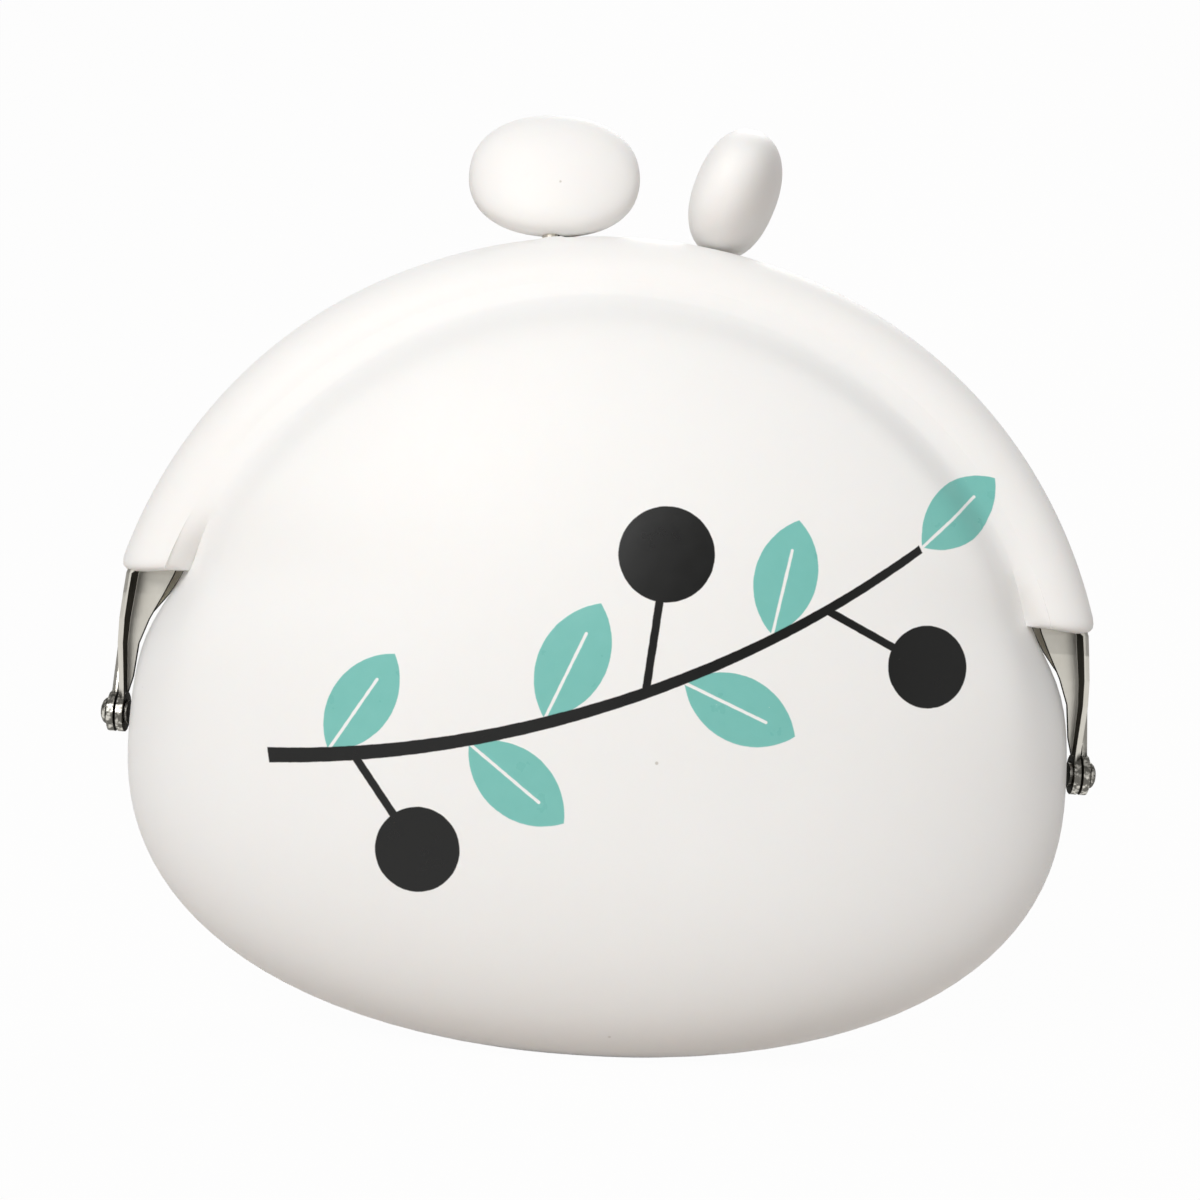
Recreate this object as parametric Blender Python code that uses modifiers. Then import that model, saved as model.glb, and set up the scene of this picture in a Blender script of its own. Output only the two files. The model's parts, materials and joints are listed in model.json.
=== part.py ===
"""A silicone clasp purse, closed, standing on its base.

Two steel channel frames, riveted together at their ends, are slipped into the sleeves of a soft
pouch. A stud on each frame carries a flat oval silicone knob, and the two knobs snap past each
other. The moulding is divided where it flexes: a bowl below, a front cover and a back cover above.

The axes: +Z is up, +X is to the right of someone who looks at the front, and the front faces -Y.
The origin is in the middle of the base. Each piece has its own origin in the middle of the hinge
line, so a height in this file counts from the hinge line unless its name says otherwise.
"""

import math

import bmesh
import bpy
from mathutils import Matrix, Vector

# Driving dimensions, in metres
RIM_RADIUS = 0.0600             # outer edge of the closed rim, from the middle of the hinge line
RIM_END_HEIGHT = 0.0166         # the sleeves end this far above the hinge line, at the channel
RIM_END_SLOPE = 0.13            # fall of the sleeves' ends, outwards
WIDEST_HEIGHT = 0.0334          # height of the widest level above the base
HINGE_RISE = 0.0022             # the hinge line lies this far above the widest level
SIDE_INSET = 0.0041             # the body is narrower than the rim by this much on each side
BODY_HALF_DEPTH = 0.0220        # front to middle, at the widest level
BASE_FLAT_DEPTH = 0.0008        # how far the round base is flattened where it rests
WALL = 0.0024                   # silicone wall
OPENING_ANGLE = math.radians(40)  # how far each half swings out

# Clearances
FIT_GAP = 0.0003                # between pieces that sit in or on each other
PARTING_GAP = 0.0002            # from the middle plane to the face of each sleeve
OVERRUN = 0.0010                # how far a cutter passes beyond what it cuts

# Steel frames
CHANNEL_WIDTH = 0.0042          # across the channel, front to back
CHANNEL_DEPTH = 0.0046          # height of its flanges
SHEET = 0.0007                  # thickness of the steel
BEND_CORNER = 0.0005            # the bent edges of the channel are rounded off by this much
EYE_RADIUS = 0.0024             # round end of each arm
EYE_PROUD = 0.00005             # the eyes are coined this much thicker on each face
EYE_STANDOFF = 0.0007           # from the side of the body to the inner eye
RIVET_RADIUS = 0.0009
RIVET_HEAD_RADIUS = 0.0016
RIVET_HEAD_HEIGHT = 0.0008
RIVET_TAIL_RADIUS = 0.0014
COUNTERSINK_DEPTH = 0.0005

# Sleeves of the rim
SLEEVE_OUTER_WALL = 0.0009      # over the back of the channel
SLEEVE_INNER_WALL = 0.0019      # under the flanges
SLEEVE_PARTING_WALL = 0.0013    # between the channel and the middle plane
SLEEVE_FACE_WALL = 0.0025       # between the channel and the outside
CROWN_ROUNDING = 0.0044         # outer edge of the rim, on the outside
PARTING_ROUNDING = 0.0028       # outer edge of the rim, at the middle plane
FOOT_ROUNDING = 0.0007          # inner edge of the rim, on the outside
END_ROUNDING = 0.0020           # corner at the lower ends of the rim

# Form of the body
VALLEY_STEP = 0.0003            # the rim stands this proud of the body where they meet
FLEX_MARGIN = 0.0056            # radius of the flex line beyond the half depth
GUSSET_PINCH = 0.0024           # how much the sides are drawn in under the ends of the rim
PINCH_HEIGHT = 0.0180
PINCH_SPREAD = 0.0065
SHOULDER_HEIGHT = 0.0260        # from here up the body follows the rim

# Studs and knobs
STUD_STEM_RADIUS = 0.0011
STUD_SPIGOT_RADIUS = 0.0008     # passes through the web of the channel
STUD_TAIL_RADIUS = 0.0012
STUD_TAIL_HEIGHT = 0.0007
STUD_COLLAR_RADIUS = 0.0019
STUD_COLLAR_HEIGHT = 0.0006
STUD_BALL_RADIUS = 0.0026
KNOB_HALF_WIDTH = 0.0102
KNOB_HALF_THICKNESS = 0.00475
KNOB_HALF_HEIGHT = 0.0077
KNOB_RIM_GAP = 0.0001           # between the rim and the lowest point of a knob
FRONT_STUD_X = -0.0093
FRONT_KNOB_X = -0.0097
FRONT_KNOB_Y = -0.0004
FRONT_KNOB_LEAN = math.radians(16)    # its top leans to the back
FRONT_KNOB_TILT = math.radians(-2)    # its top leans to the side
FRONT_KNOB_TURN = math.radians(0)     # turned about its own upright axis
BACK_STUD_X = 0.0108
BACK_KNOB_X = 0.0121
BACK_KNOB_Y = 0.0010
BACK_KNOB_LEAN = math.radians(-5)
BACK_KNOB_TILT = math.radians(19)
BACK_KNOB_TURN = math.radians(82)

# Shapes of curves, as powers and shares
OUTLINE_POWER = 2.29            # of the lower outline, seen from the front
SIDE_POWER = 2.8                # of the lower outline, seen from the side
PLAN_POWER = 2.1                # of the level sections
CHEEK_POWER = 2.4               # of the upper outline, seen from the side
CHEEK_FALL = 0.8
TOP_SHARE = 0.9985              # the level sections keep their size above this share
SLOPE_STEP_SHARE = 0.01
KNOB_LOW_SHARE = 0.2            # how far towards the middle a knob comes nearest to the rim
STEM_BEND_SHARES = (0.08, 0.18, 0.32)  # of a stud's stem: it is bent up to the last of them

# Each arm, from the channel down to its eye: height as a share of the height of the rim's end,
# then shares of the channel's width, of the flange near the middle plane where the eye is the
# inner one, of the same flange where the eye is the outer one, of the channel's distance from the
# middle plane, and of the sideways joggle to the eye
ARM_SHARES = (
    (0.86, 1.00, 0.84, 0.84, 0.98, 0.25),
    (0.68, 0.90, 0.55, 0.50, 0.84, 0.70),
    (0.50, 0.76, 0.32, 0.00, 0.62, 1.00),
    (0.26, 0.66, 0.16, 0.00, 0.31, 1.00),
    (0.14, 0.62, 0.00, 0.00, 0.16, 1.00),
    (0.06, 0.60, 0.00, 0.00, 0.07, 1.00),
)
LIP_SHARE = 1.04                # where a flange has run out, its lip is this share of the sheet

# Counts of facets
RING_POINTS = 44
LOWER_RINGS = 9
UPPER_RINGS = 14
RIM_STATIONS = 32
END_STEPS = 4
PARTING_STEPS = 3
CROWN_STEPS = 4
FOOT_STEPS = 2
TURNED_STEPS = 16
HEAD_STEPS = 5
BALL_STEPS = 8
KNOB_SEGMENTS = 28
KNOB_RINGS = 16
FLEX_STEPS = 48
SWEEP_LEVELS = 8
SWEEP_TURNS = 24
SHARP_ANGLE = math.radians(35)  # an edge with a sharper turn is shaded as an edge

# Worked out from the dimensions above
HINGE_HEIGHT = WIDEST_HEIGHT + HINGE_RISE
BODY_HALF_WIDTH = RIM_RADIUS - SIDE_INSET
TUNNEL_WIDTH = CHANNEL_WIDTH + 2 * FIT_GAP
SLEEVE_THICKNESS = SLEEVE_PARTING_WALL + TUNNEL_WIDTH + SLEEVE_FACE_WALL
CHANNEL_RADIUS = RIM_RADIUS - SLEEVE_OUTER_WALL - FIT_GAP
VALLEY_RADIUS = CHANNEL_RADIUS - CHANNEL_DEPTH - FIT_GAP - SLEEVE_INNER_WALL
VALLEY_DEPTH = PARTING_GAP + SLEEVE_THICKNESS - VALLEY_STEP
CHANNEL_Y = PARTING_GAP + SLEEVE_PARTING_WALL + FIT_GAP + CHANNEL_WIDTH / 2
FLEX_RADIUS = BODY_HALF_DEPTH + FLEX_MARGIN
EYE_THICKNESS = SHEET + 2 * EYE_PROUD
INNER_EYE_X = BODY_HALF_WIDTH + EYE_STANDOFF
OUTER_EYE_X = INNER_EYE_X + EYE_THICKNESS + FIT_GAP
EYE_HOLE_RADIUS = RIVET_RADIUS + FIT_GAP
LIP = SHEET * LIP_SHARE

FRONT = -1
BACK = 1


def clear_scene():
    """Remove every object that the scene holds."""
    for scene_object in list(bpy.data.objects):
        bpy.data.objects.remove(scene_object, do_unlink=True)


def collection(name):
    """A new collection in the scene."""
    group = bpy.data.collections.new(name)
    bpy.context.scene.collection.children.link(group)
    return group


def material(name, colour, roughness, metallic):
    """A plain material."""
    finish = bpy.data.materials.new(name)
    finish.use_nodes = True
    shader = finish.node_tree.nodes["Principled BSDF"]
    shader.inputs["Base Color"].default_value = (*colour, 1)
    shader.inputs["Roughness"].default_value = roughness
    shader.inputs["Metallic"].default_value = metallic
    return finish


def place(name, bm, group, finish=None):
    """Make an object of a bmesh, with its faces pointing out."""
    bmesh.ops.recalc_face_normals(bm, faces=bm.faces)
    mesh = bpy.data.meshes.new(name)
    bm.to_mesh(mesh)
    bm.free()
    made = bpy.data.objects.new(name, mesh)
    group.objects.link(made)
    if finish:
        mesh.materials.append(finish)
        mesh.shade_smooth()
        mesh.set_sharp_from_angle(angle=SHARP_ANGLE)
    return made


def place_cutter(name, bm, group):
    """Make an object that only shapes others."""
    made = place(name, bm, group)
    made.hide_render = True
    made.display_type = "WIRE"
    return made


def combine(target, operation, other):
    """Add a Boolean modifier."""
    step = target.modifiers.new(f"{operation.lower()}_{other.name}", "BOOLEAN")
    step.operation = operation
    step.solver = "EXACT"
    step.object = other


def loft(rings):
    """A closed body through rings that have the same number of points."""
    bm = bmesh.new()
    rows = [[bm.verts.new(point) for point in ring] for ring in rings]
    count = len(rows[0])
    for low, high in zip(rows, rows[1:]):
        for k in range(count):
            following = (k + 1) % count
            bm.faces.new((low[k], low[following], high[following], high[k]))
    bm.faces.new(rows[0])
    bm.faces.new(rows[-1])
    return bm


def extrude_outline(points, start, end, axis):
    """A flat outline, given as pairs, drawn from start to end along X or Y."""
    if axis == "X":
        rings = [[Vector((x, a, b)) for a, b in points] for x in (start, end)]
    else:
        rings = [[Vector((a, y, b)) for a, b in points] for y in (start, end)]
    return loft(rings)


def fall(share, power):
    """Height of a superellipse of unit size at this share of its half width."""
    return max(1 - min(share, 1) ** power, 0) ** (1 / power)


# The body, as level sections

def half_depth(height):
    """Half depth of the body at a height above the hinge line."""
    rise = height + HINGE_RISE
    if rise < 0:
        return BODY_HALF_DEPTH * fall(-rise / (WIDEST_HEIGHT + BASE_FLAT_DEPTH), SIDE_POWER)
    share = min(rise / (VALLEY_RADIUS + HINGE_RISE), 1)
    bulge = (1 - share ** CHEEK_POWER) ** CHEEK_FALL
    return VALLEY_DEPTH + (BODY_HALF_DEPTH - VALLEY_DEPTH) * bulge


def half_width_at_rim(height):
    """Half width of the section that meets the rim's inner edge at the valley's depth."""
    reach = math.sqrt(VALLEY_RADIUS ** 2 - height ** 2)
    return reach / fall(VALLEY_DEPTH / half_depth(height), PLAN_POWER)


def half_width(height):
    """Half width of the body at a height above the hinge line."""
    rise = height + HINGE_RISE
    if rise < 0:
        return BODY_HALF_WIDTH * fall(-rise / (WIDEST_HEIGHT + BASE_FLAT_DEPTH), OUTLINE_POWER)
    pinch = GUSSET_PINCH * math.exp(-((height - PINCH_HEIGHT) / PINCH_SPREAD) ** 2)
    if height >= SHOULDER_HEIGHT:
        return half_width_at_rim(height) - pinch
    span = SHOULDER_HEIGHT + HINGE_RISE
    step = SLOPE_STEP_SHARE * span
    width = half_width_at_rim(SHOULDER_HEIGHT)
    slope = (half_width_at_rim(SHOULDER_HEIGHT + step) - width) / step
    share = rise / span
    blend = share ** 2 * (3 - 2 * share)
    bend = (share ** 3 - share ** 2) * span * slope
    return BODY_HALF_WIDTH + (width - BODY_HALF_WIDTH) * blend + bend - pinch


def level_ring(height, wide, deep):
    """One level section: a superellipse."""
    ring = []
    for k in range(RING_POINTS):
        angle = math.tau * k / RING_POINTS
        across = math.copysign(abs(math.cos(angle)) ** (2 / PLAN_POWER), math.cos(angle))
        along = math.copysign(abs(math.sin(angle)) ** (2 / PLAN_POWER), math.sin(angle))
        ring.append(Vector((wide * across, deep * along, height)))
    return ring


def body_form(inset, floor, top):
    """The body, or the room inside it, from its floor to a top inside the sleeves."""
    rings = []
    first = math.acos(WIDEST_HEIGHT / (WIDEST_HEIGHT + BASE_FLAT_DEPTH))
    for k in range(LOWER_RINGS):
        turn = first + (math.pi / 2 - first) * k / LOWER_RINGS
        outside = (WIDEST_HEIGHT + BASE_FLAT_DEPTH) * math.cos(turn)
        height = -HINGE_RISE - outside * (WIDEST_HEIGHT - floor) / WIDEST_HEIGHT
        level = -HINGE_RISE - outside
        shrink = (BODY_HALF_WIDTH - inset) / BODY_HALF_WIDTH
        shrink_deep = (BODY_HALF_DEPTH - inset) / BODY_HALF_DEPTH
        rings.append(level_ring(height, half_width(level) * shrink, half_depth(level) * shrink_deep))
    for k in range(UPPER_RINGS + 1):
        share = TOP_SHARE * math.sin(math.pi / 2 * k / UPPER_RINGS)
        height = share * (VALLEY_RADIUS + HINGE_RISE) - HINGE_RISE
        rings.append(level_ring(height, half_width(height) - inset, half_depth(height) - inset))
    rings.append([Vector((point.x, point.y, top)) for point in rings[-1]])
    return loft(rings)


# The rim, as stations along an arch

def arch_point(radius, share, end_height):
    """A point of the arch: share 0 at its right end, 1 at its left end, both at end_height."""
    first = math.asin(end_height / radius)
    angle = first + share * (math.pi - 2 * first)
    return radius * math.cos(angle), radius * math.sin(angle)


def corner(centre, radius, start, steps):
    """Points of a quarter turn, as pairs."""
    turns = [start + math.pi / 2 * k / steps for k in range(steps + 1)]
    return [(centre[0] + radius * math.cos(t), centre[1] + radius * math.sin(t)) for t in turns]


def sleeve_section(outer):
    """Outline of the sleeve as radius and distance from the middle plane."""
    near = PARTING_GAP
    far = PARTING_GAP + SLEEVE_THICKNESS
    points = [(VALLEY_RADIUS, near)]
    points += corner((outer - PARTING_ROUNDING, near + PARTING_ROUNDING), PARTING_ROUNDING,
                     -math.pi / 2, PARTING_STEPS)
    points += corner((outer - CROWN_ROUNDING, far - CROWN_ROUNDING), CROWN_ROUNDING,
                     0, CROWN_STEPS)
    points += corner((VALLEY_RADIUS + FOOT_ROUNDING, far - FOOT_ROUNDING), FOOT_ROUNDING,
                     math.pi / 2, FOOT_STEPS)
    return points


def sleeve_end(radius):
    """Height at which a sleeve ends, which falls outwards."""
    return RIM_END_HEIGHT + RIM_END_SLOPE * (CHANNEL_RADIUS - radius)


def rim_stations():
    """Shares along the arch, close together at its rounded ends."""
    first = math.asin(RIM_END_HEIGHT / RIM_RADIUS)
    rounding = END_ROUNDING / (RIM_RADIUS * (math.pi - 2 * first))
    end = [rounding * (1 - math.cos(math.pi / 2 * k / END_STEPS)) for k in range(END_STEPS)]
    middle = [rounding + (1 - 2 * rounding) * k / RIM_STATIONS for k in range(RIM_STATIONS + 1)]
    return end + middle + [1 - share for share in reversed(end)], rounding


def sleeve_form(side):
    """The sleeve of one half: a rounded section along the arch, with rounded lower corners."""
    shares, rounding = rim_stations()
    rings = []
    for share in shares:
        from_end = min(min(share, 1 - share) / rounding, 1)
        drop = END_ROUNDING * (1 - math.sqrt(1 - (1 - from_end) ** 2))
        ring = []
        for radius, away in sleeve_section(RIM_RADIUS - drop):
            x, z = arch_point(radius, share, sleeve_end(radius))
            ring.append(Vector((x, side * away, z)))
        rings.append(ring)
    return loft(rings)


def tunnel_form(side):
    """The room for the channel inside a sleeve, open at both ends."""
    near = PARTING_GAP + SLEEVE_PARTING_WALL
    low = CHANNEL_RADIUS - CHANNEL_DEPTH - FIT_GAP
    high = CHANNEL_RADIUS + FIT_GAP
    corners = ((low, near), (high, near), (high, near + TUNNEL_WIDTH), (low, near + TUNNEL_WIDTH))
    rings = []
    for k in range(RIM_STATIONS + 1):
        share = k / RIM_STATIONS
        ring = []
        for radius, away in corners:
            x, z = arch_point(radius, share, RIM_END_HEIGHT - OVERRUN)
            ring.append(Vector((x, side * away, z)))
        rings.append(ring)
    return loft(rings)


# The steel frames

def channel_ring(outer, inward, side, away, width, near_flange, far_flange):
    """Outline of the channel: its web outside and its two flanges inwards."""
    section = (
        (BEND_CORNER, -width / 2), (near_flange, -width / 2), (near_flange, SHEET - width / 2),
        (SHEET, SHEET - width / 2), (SHEET, width / 2 - SHEET), (far_flange, width / 2 - SHEET),
        (far_flange, width / 2), (BEND_CORNER, width / 2), (0, width / 2 - BEND_CORNER),
        (0, BEND_CORNER - width / 2),
    )
    ring = []
    for depth, across in section:
        x, z = inward(outer, depth)
        ring.append(Vector((x, side * (away + across), z)))
    return ring


def arm_rings(side, hand, eye_x):
    """The tapered arm below the channel, from the channel down; hand is 1 right, -1 left."""
    start_x, start_z = arch_point(CHANNEL_RADIUS, 0, RIM_END_HEIGHT)
    end_x = eye_x + EYE_THICKNESS - EYE_PROUD
    rings = []
    for height, width, inner_flange, outer_flange, away, joggle in ARM_SHARES:
        outer = (start_x + (end_x - start_x) * joggle, height * start_z)
        flange = inner_flange if eye_x == INNER_EYE_X else outer_flange
        rings.append(channel_ring(
            outer, lambda point, depth: (hand * (point[0] - depth), point[1]), side,
            CHANNEL_Y * away, CHANNEL_WIDTH * width, LIP + (CHANNEL_DEPTH - LIP) * flange, LIP))
    return rings


def frame_form(side, eye_x):
    """One frame: an arched channel that runs out into a tapered arm at each end.

    The flange away from the middle plane runs out inside the sleeve, the other along the arm.
    """
    arch = []
    for k in range(RIM_STATIONS + 1):
        share = k / RIM_STATIONS
        far_flange = LIP if k in (0, RIM_STATIONS) else CHANNEL_DEPTH
        arch.append(channel_ring(
            share, lambda s, depth: arch_point(CHANNEL_RADIUS - depth, s, RIM_END_HEIGHT),
            side, CHANNEL_Y, CHANNEL_WIDTH, CHANNEL_DEPTH, far_flange))
    right = arm_rings(side, 1, eye_x)
    left = arm_rings(side, -1, eye_x)
    return loft(right[::-1] + arch + left)


def turned(name, profile, group, finish, start, hand):
    """A piece turned about the hinge line; its profile is radius and distance from start."""
    bm = bmesh.new()
    points = [bm.verts.new((radius, 0, height)) for radius, height in profile]
    for low, high in zip(points, points[1:]):
        bm.edges.new((low, high))
    mesh = bpy.data.meshes.new(name)
    bm.to_mesh(mesh)
    bm.free()
    made = bpy.data.objects.new(name, mesh)
    group.objects.link(made)
    screw = made.modifiers.new("turning", "SCREW")
    screw.axis = "Z"
    screw.steps = TURNED_STEPS
    screw.render_steps = TURNED_STEPS
    screw.use_merge_vertices = True
    screw.merge_threshold = 0.00001
    made.location = (hand * start, 0, 0)
    made.rotation_euler = (0, hand * math.pi / 2, 0)
    if finish:
        mesh.materials.append(finish)
    return made


def eye_profile():
    """The round end of an arm, from its outer face to its inner face."""
    return [(0, EYE_THICKNESS), (EYE_RADIUS, EYE_THICKNESS), (EYE_RADIUS, 0), (0, 0)]


def hole_profile(countersunk):
    """The hole through an eye, which widens inwards where the rivet's tail is spread."""
    low = -OVERRUN
    high = EYE_THICKNESS + OVERRUN
    if not countersunk:
        return [(0, high), (EYE_HOLE_RADIUS, high), (EYE_HOLE_RADIUS, low), (0, low)]
    wide = RIVET_TAIL_RADIUS + FIT_GAP
    return [(0, high), (EYE_HOLE_RADIUS, high), (EYE_HOLE_RADIUS, COUNTERSINK_DEPTH),
            (wide, 0), (wide, low), (0, low)]


def rivet_profile():
    """Domed head outside, shank through both eyes, tail spread in the countersunk hole."""
    head = OUTER_EYE_X + EYE_THICKNESS + FIT_GAP - INNER_EYE_X
    points = []
    for k in range(HEAD_STEPS):
        turn = math.pi / 2 * k / HEAD_STEPS
        points.append((RIVET_HEAD_RADIUS * math.sin(turn),
                       head + RIVET_HEAD_HEIGHT * math.cos(turn)))
    points += [(RIVET_HEAD_RADIUS, head), (RIVET_RADIUS, head),
               (RIVET_RADIUS, COUNTERSINK_DEPTH), (RIVET_TAIL_RADIUS, 0),
               (RIVET_TAIL_RADIUS, -FIT_GAP), (0, -FIT_GAP)]
    return points


# The studs and knobs

def knob_turn(lean, tilt, turn):
    """Attitude of a knob: turned about its upright axis, then leant to the back, then tilted."""
    return Matrix.Rotation(tilt, 3, "Y") @ Matrix.Rotation(-lean, 3, "X") @ Matrix.Rotation(
        turn, 3, "Z")


def knob_centre(x, y, attitude):
    """Centre of a knob that clears the crown of the rim by the named gap."""
    sizes = (KNOB_HALF_WIDTH, KNOB_HALF_THICKNESS, KNOB_HALF_HEIGHT)
    reach = math.sqrt(sum((attitude[2][k] * sizes[k]) ** 2 for k in range(3)))
    nearest = max(abs(x) - KNOB_HALF_WIDTH * KNOB_LOW_SHARE, 0)
    crown = math.sqrt(RIM_RADIUS ** 2 - nearest ** 2)
    return Vector((x, y, crown + KNOB_RIM_GAP + reach))


def stud_form(side, stud_x, centre, gap):
    """Tail, spigot and collar square to the web, then a bent stem with a ball on its end."""
    foot_z = math.sqrt(CHANNEL_RADIUS ** 2 - stud_x ** 2)
    foot = Vector((stud_x, side * CHANNEL_Y, foot_z))
    outward = Vector((stud_x, 0, foot_z)).normalized()
    seat = SHEET + FIT_GAP
    collar_top = FIT_GAP + STUD_COLLAR_HEIGHT
    knee = foot + outward * collar_top
    lean = (centre - knee).normalized()
    length = (centre - knee).length
    ball = STUD_BALL_RADIUS + gap
    stem = STUD_STEM_RADIUS + gap
    straight = (
        (-seat - STUD_TAIL_HEIGHT, STUD_TAIL_RADIUS + gap), (-seat, STUD_TAIL_RADIUS + gap),
        (-seat, STUD_SPIGOT_RADIUS + gap), (FIT_GAP, STUD_SPIGOT_RADIUS + gap),
        (FIT_GAP, STUD_COLLAR_RADIUS + gap), (collar_top, STUD_COLLAR_RADIUS + gap),
        (collar_top, stem),
    )
    rings = [disc(foot + outward * along, outward, radius) for along, radius in straight]
    neck = math.asin(stem / ball)
    for share in STEM_BEND_SHARES:
        way = outward.lerp(lean, share / STEM_BEND_SHARES[-1]).normalized()
        rings.append(disc(knee + lean * (length * share), way, stem))
    for k in range(BALL_STEPS):
        turn = (math.pi - neck) * (1 - k / BALL_STEPS)
        rings.append(disc(centre + lean * (ball * math.cos(turn)), lean, ball * math.sin(turn)))
    return loft(rings)


def disc(centre, way, radius):
    """A ring of points square to a direction."""
    across = Vector((0, 1, 0)).cross(way).normalized()
    along = way.cross(across)
    ring = []
    for k in range(TURNED_STEPS):
        angle = math.tau * k / TURNED_STEPS
        ring.append(centre + radius * (across * math.cos(angle) + along * math.sin(angle)))
    return ring


def knob_form():
    """A flattened ball."""
    bm = bmesh.new()
    bmesh.ops.create_uvsphere(bm, u_segments=KNOB_SEGMENTS, v_segments=KNOB_RINGS, radius=1)
    sizes = Vector((KNOB_HALF_WIDTH, KNOB_HALF_THICKNESS, KNOB_HALF_HEIGHT))
    bmesh.ops.scale(bm, vec=sizes, verts=bm.verts)
    return bm


# What divides the moulding

def arch_block(radius, near, side):
    """The room above the hinge line and outside the flex line; side 0 takes both halves."""
    far = RIM_RADIUS
    turns = [math.pi * k / FLEX_STEPS for k in range(FLEX_STEPS + 1)]
    arc = [(radius * math.cos(turn), radius * math.sin(turn)) for turn in turns]
    if side == 0:
        points = [(far, 0)] + arc + [(-far, 0), (-far, 2 * far), (far, 2 * far)]
    else:
        kept = [(side * y, z) for y, z in arc if y > near]
        last = (side * near, math.sqrt(radius ** 2 - near ** 2))
        points = [(side * far, 0)] + kept + [last, (side * near, 2 * far), (side * far, 2 * far)]
    return extrude_outline(points, -2 * far, 2 * far, "X")


def rim_sweep(hand):
    """The room that the lower end of a sleeve passes through as the halves swing."""
    inside = VALLEY_RADIUS - FIT_GAP
    near = RIM_END_HEIGHT - FIT_GAP
    far = FLEX_RADIUS + OVERRUN
    levels = [near + (far - near) * k / SWEEP_LEVELS for k in range(SWEEP_LEVELS + 1)]
    profile = [(math.sqrt(inside ** 2 - level ** 2), level) for level in levels]
    profile += [(RIM_RADIUS + OVERRUN, far), (RIM_RADIUS + OVERRUN, near)]
    reach = math.atan2(PARTING_GAP + SLEEVE_THICKNESS, RIM_END_HEIGHT) + OPENING_ANGLE
    rings = []
    for k in range(SWEEP_TURNS + 1):
        angle = reach * (2 * k / SWEEP_TURNS - 1)
        rings.append([Vector((hand * x, -level * math.sin(angle), level * math.cos(angle)))
                      for x, level in profile])
    return loft(rings)


def build():
    """Make every piece of the purse."""
    clear_scene()
    purse = collection("silicone_clasp_purse")
    cutters = collection("cutters")
    silicone = material("white_silicone", (0.90, 0.89, 0.87), 0.48, 0)
    steel = material("nickel_plated_steel", (0.70, 0.67, 0.60), 0.26, 1)

    carriers = {}
    for side, name in ((0, "pouch_middle"), (FRONT, "front_hinge_line"), (BACK, "back_hinge_line")):
        carrier = bpy.data.objects.new(name, None)
        carrier.location = (0, 0, HINGE_HEIGHT)
        purse.objects.link(carrier)
        carriers[side] = carrier

    top = VALLEY_RADIUS + SLEEVE_INNER_WALL / 2
    room = place_cutter("room_inside", body_form(WALL, WALL, top + OVERRUN), cutters)

    bowl = place("pouch_bowl", body_form(0, 0, top), purse, silicone)
    combine(bowl, "DIFFERENCE", room)
    above = place_cutter("above_flex_line", arch_block(FLEX_RADIUS - FIT_GAP, 0, 0), cutters)
    combine(bowl, "DIFFERENCE", above)
    for hand in (-1, 1):
        sweep = place_cutter(f"rim_sweep_{'right' if hand > 0 else 'left'}", rim_sweep(hand), cutters)
        combine(bowl, "DIFFERENCE", sweep)
    bowl.parent = carriers[0]

    knobs = {
        FRONT: (FRONT_STUD_X, FRONT_KNOB_X, FRONT_KNOB_Y,
                knob_turn(FRONT_KNOB_LEAN, FRONT_KNOB_TILT, FRONT_KNOB_TURN)),
        BACK: (BACK_STUD_X, BACK_KNOB_X, BACK_KNOB_Y,
               knob_turn(BACK_KNOB_LEAN, BACK_KNOB_TILT, BACK_KNOB_TURN)),
    }
    for side, name in ((FRONT, "front"), (BACK, "back")):
        stud_x, knob_x, knob_y, attitude = knobs[side]
        centre = knob_centre(knob_x, knob_y, attitude)
        bore = place_cutter(f"{name}_stud_room", stud_form(side, stud_x, centre, FIT_GAP), cutters)
        eye_x = INNER_EYE_X if side == FRONT else OUTER_EYE_X

        cover = place(f"{name}_cover", body_form(0, 0, top), purse, silicone)
        combine(cover, "DIFFERENCE", room)
        zone = place_cutter(f"{name}_zone", arch_block(FLEX_RADIUS, PARTING_GAP + WALL, side), cutters)
        combine(cover, "INTERSECT", zone)
        sleeve = place_cutter(f"{name}_sleeve", sleeve_form(side), cutters)
        combine(cover, "UNION", sleeve)
        tunnel = place_cutter(f"{name}_tunnel", tunnel_form(side), cutters)
        combine(cover, "DIFFERENCE", tunnel)
        combine(cover, "DIFFERENCE", bore)

        frame = place(f"{name}_frame", frame_form(side, eye_x), purse, steel)
        for hand in (-1, 1):
            label = f"{name}_{'right' if hand > 0 else 'left'}"
            eye = turned(f"{label}_eye", eye_profile(), cutters, None, eye_x, hand)
            hole = turned(f"{label}_hole", hole_profile(side == FRONT), cutters, None, eye_x, hand)
            for helper in (eye, hole):
                helper.hide_render = True
                helper.display_type = "WIRE"
            combine(frame, "UNION", eye)
            combine(frame, "DIFFERENCE", hole)
        combine(frame, "DIFFERENCE", bore)

        stud = place(f"{name}_stud", stud_form(side, stud_x, centre, 0), purse, steel)

        knob = place(f"{name}_knob", knob_form(), purse, silicone)
        knob.matrix_local = Matrix.Translation(centre) @ attitude.to_4x4()
        combine(knob, "DIFFERENCE", bore)

        for piece in (cover, frame, stud, knob):
            piece.parent = carriers[side]

    for hand, name in ((-1, "left_rivet"), (1, "right_rivet")):
        rivet = turned(name, rivet_profile(), purse, steel, INNER_EYE_X, hand)
        rivet.parent = carriers[BACK]

    for cutter in cutters.objects:
        cutter.parent = carriers[0]


build()
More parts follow.
